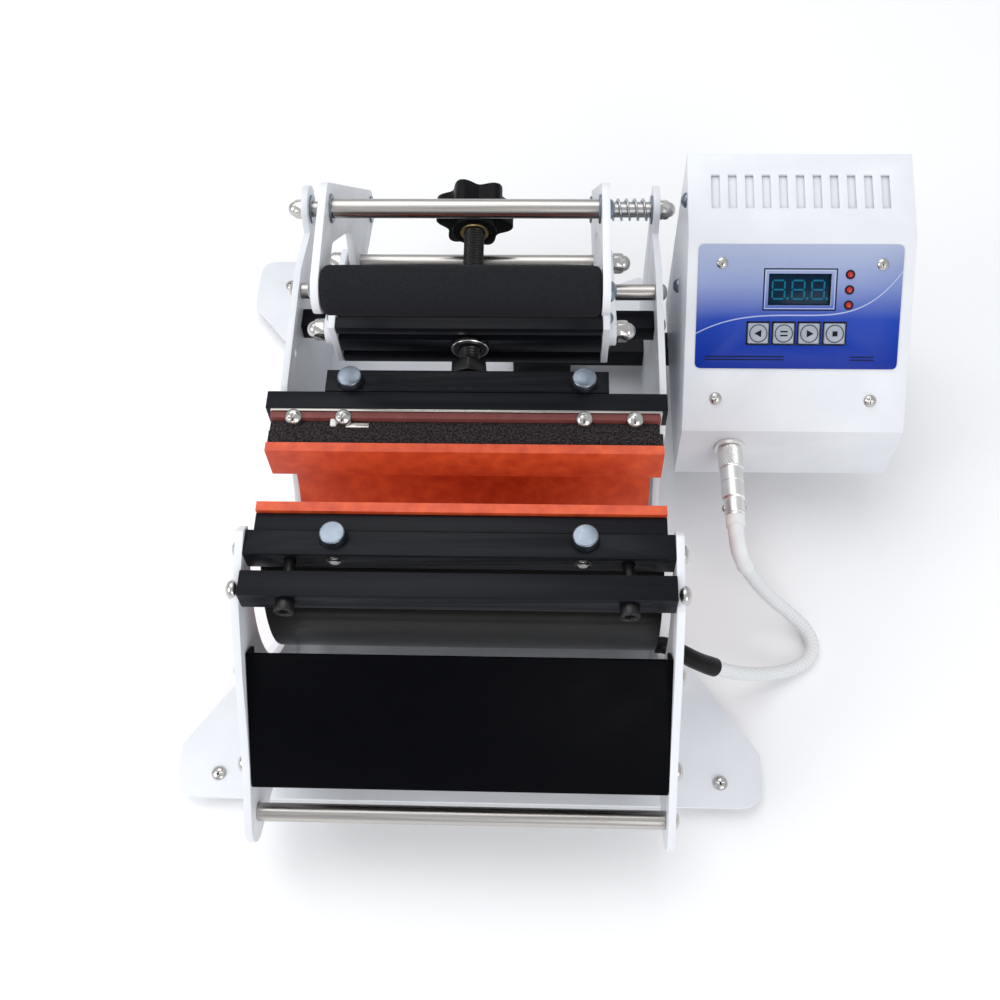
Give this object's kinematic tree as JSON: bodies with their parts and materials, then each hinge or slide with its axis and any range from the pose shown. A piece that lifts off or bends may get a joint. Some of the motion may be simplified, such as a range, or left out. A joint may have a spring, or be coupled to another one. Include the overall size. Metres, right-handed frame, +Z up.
{
  "type": "mug heat press",
  "caption": "Bench heat press that wraps a curved heater round a mug: hand lever, linked rear jaw, pressure screw and a side control box.",
  "frame": {"origin": "on the bench, at the middle of the part's footprint box without the heater lead", "axes": "+X to the control box's side, +Y from the front panel to the lever's pivot, +Z up"},
  "size_m": [0.433, 0.443, 0.2445],
  "materials": {
    "white_coat": "semi-gloss powder coat",
    "black_anodised": "satin black anodised",
    "black_paint": "satin black paint",
    "stainless": "turned and polished",
    "zinc": "zinc plated",
    "aluminium": "satin",
    "orange_silicone": "matt silicone",
    "dark_foam": "coarse open foam",
    "grip_foam": "fine foam",
    "dark_rubber": "matt rubber",
    "black_plastic": "moulded",
    "label_blue": "printed film, grey-blue to royal blue",
    "display_teal": "dark display with lit digits",
    "key_white": "domed film key",
    "lead_white": "ribbed silicone sleeve"
  },
  "bodies": {
    "frame": {"base_plate": "white_coat", "foot_front_left": "dark_rubber", "foot_front_right": "dark_rubber", "foot_rear_left": "dark_rubber", "foot_rear_right": "dark_rubber", "side_plate_left": "white_coat", "side_plate_right": "white_coat", "front_tie_bar": "stainless", "rear_tie_bar": "stainless", "rear_cross_bar": "black_anodised", "front_panel": "black_paint", "front_rail": "black_anodised", "back_rail": "black_anodised", "pinch_bar": "black_anodised", "rail_stud_left": "stainless", "rail_stud_right": "stainless", "pinch_bolt_left": "zinc", "pinch_bolt_right": "zinc", "heater_pad_front": "orange_silicone", "heater_jacket_front": "dark_foam", "pivot_shaft": "stainless", "return_spring": "stainless", "box_arm": "black_anodised", "box_shell": "white_coat", "box_floor": "white_coat", "display_board": "display_teal", "relay": "black_plastic", "face_label": "label_blue", "mains_inlet": "black_plastic", "lead_socket": "zinc", "lead_plug": "zinc", "heater_lead": "lead_white", "switch_housing": "black_plastic"},
    "lever": {"lever_plate_left": "white_coat", "lever_plate_right": "white_coat", "lever_grip": "grip_foam", "grip_rod": "stainless", "lever_spacer_bar": "stainless", "lever_bar": "stainless"},
    "links": {"link_left": "white_coat", "link_right": "white_coat"},
    "jaw": {"jaw_strip": "aluminium", "jaw_front_bar": "black_anodised", "jaw_back_bar": "black_anodised", "jaw_bolt_left": "zinc", "jaw_bolt_right": "zinc", "heater_pad_rear": "orange_silicone", "heater_jacket_rear": "dark_foam"},
    "screw": {"pressure_screw": "stainless", "screw_nut": "stainless", "star_knob": "black_plastic"},
    "beam": {"cross_beam": "black_anodised", "beam_end_plate_left": "white_coat", "beam_end_plate_right": "white_coat", "beam_bushing": "zinc"},
    "rocker": {"rocker": "black_plastic"},
    "key_1": {"key_1": "key_white"},
    "key_2": {"key_2": "key_white"},
    "key_3": {"key_3": "key_white"},
    "key_4": {"key_4": "key_white"}
  },
  "joints": [
    {"name": "lever_swing", "type": "hinge", "parent": "frame", "child": "lever", "pos_m": [-0.04553, 0.1665, 0.1245], "axis": [-1, 0, 0], "range_deg": [0, 60]},
    {"name": "link_swing", "type": "hinge", "parent": "lever", "child": "links", "pos_m": [-0.04553, 0.1125, 0.135], "axis": [1, 0, 0], "range_deg": [0, 62.3]},
    {"name": "jaw_travel", "type": "slide", "parent": "frame", "child": "jaw", "axis": [0, 0.682, 0.7314], "range_m": [0, 0.0531]},
    {"name": "screw_turn", "type": "hinge", "parent": "jaw", "child": "screw", "pos_m": [-0.04553, 0.0445, 0.1555], "axis": [0, 0.9903, 0.1392], "range_deg": [-722, 722]},
    {"name": "beam_on_screw", "type": "slide", "parent": "jaw", "child": "beam", "axis": [0, 0.9903, 0.1392], "range_m": [-0.0035, 0.0035]},
    {"name": "switch_rock", "type": "hinge", "parent": "frame", "child": "rocker", "pos_m": [0.21347, 0.1025, 0.123], "axis": [0, 1, 0], "range_deg": [0, 12]},
    {"name": "key_1_press", "type": "slide", "parent": "frame", "child": "key_1", "axis": [0, 0.6636, -0.7481], "range_m": [0, 0.0006], "stiffness_N_per_m": 400},
    {"name": "key_2_press", "type": "slide", "parent": "frame", "child": "key_2", "axis": [0, 0.6636, -0.7481], "range_m": [0, 0.0006], "stiffness_N_per_m": 400},
    {"name": "key_3_press", "type": "slide", "parent": "frame", "child": "key_3", "axis": [0, 0.6636, -0.7481], "range_m": [0, 0.0006], "stiffness_N_per_m": 400},
    {"name": "key_4_press", "type": "slide", "parent": "frame", "child": "key_4", "axis": [0, 0.6636, -0.7481], "range_m": [0, 0.0006], "stiffness_N_per_m": 400}
  ],
  "couplings": [
    {"joint": "link_swing", "follows": "lever_swing", "ratio": 1.0367},
    {"joint": "jaw_travel", "follows": "lever_swing", "m_per_rad": 0.050516},
    {"joint": "screw_turn", "follows": "beam_on_screw", "rad_per_m": 3590.4}
  ]
}
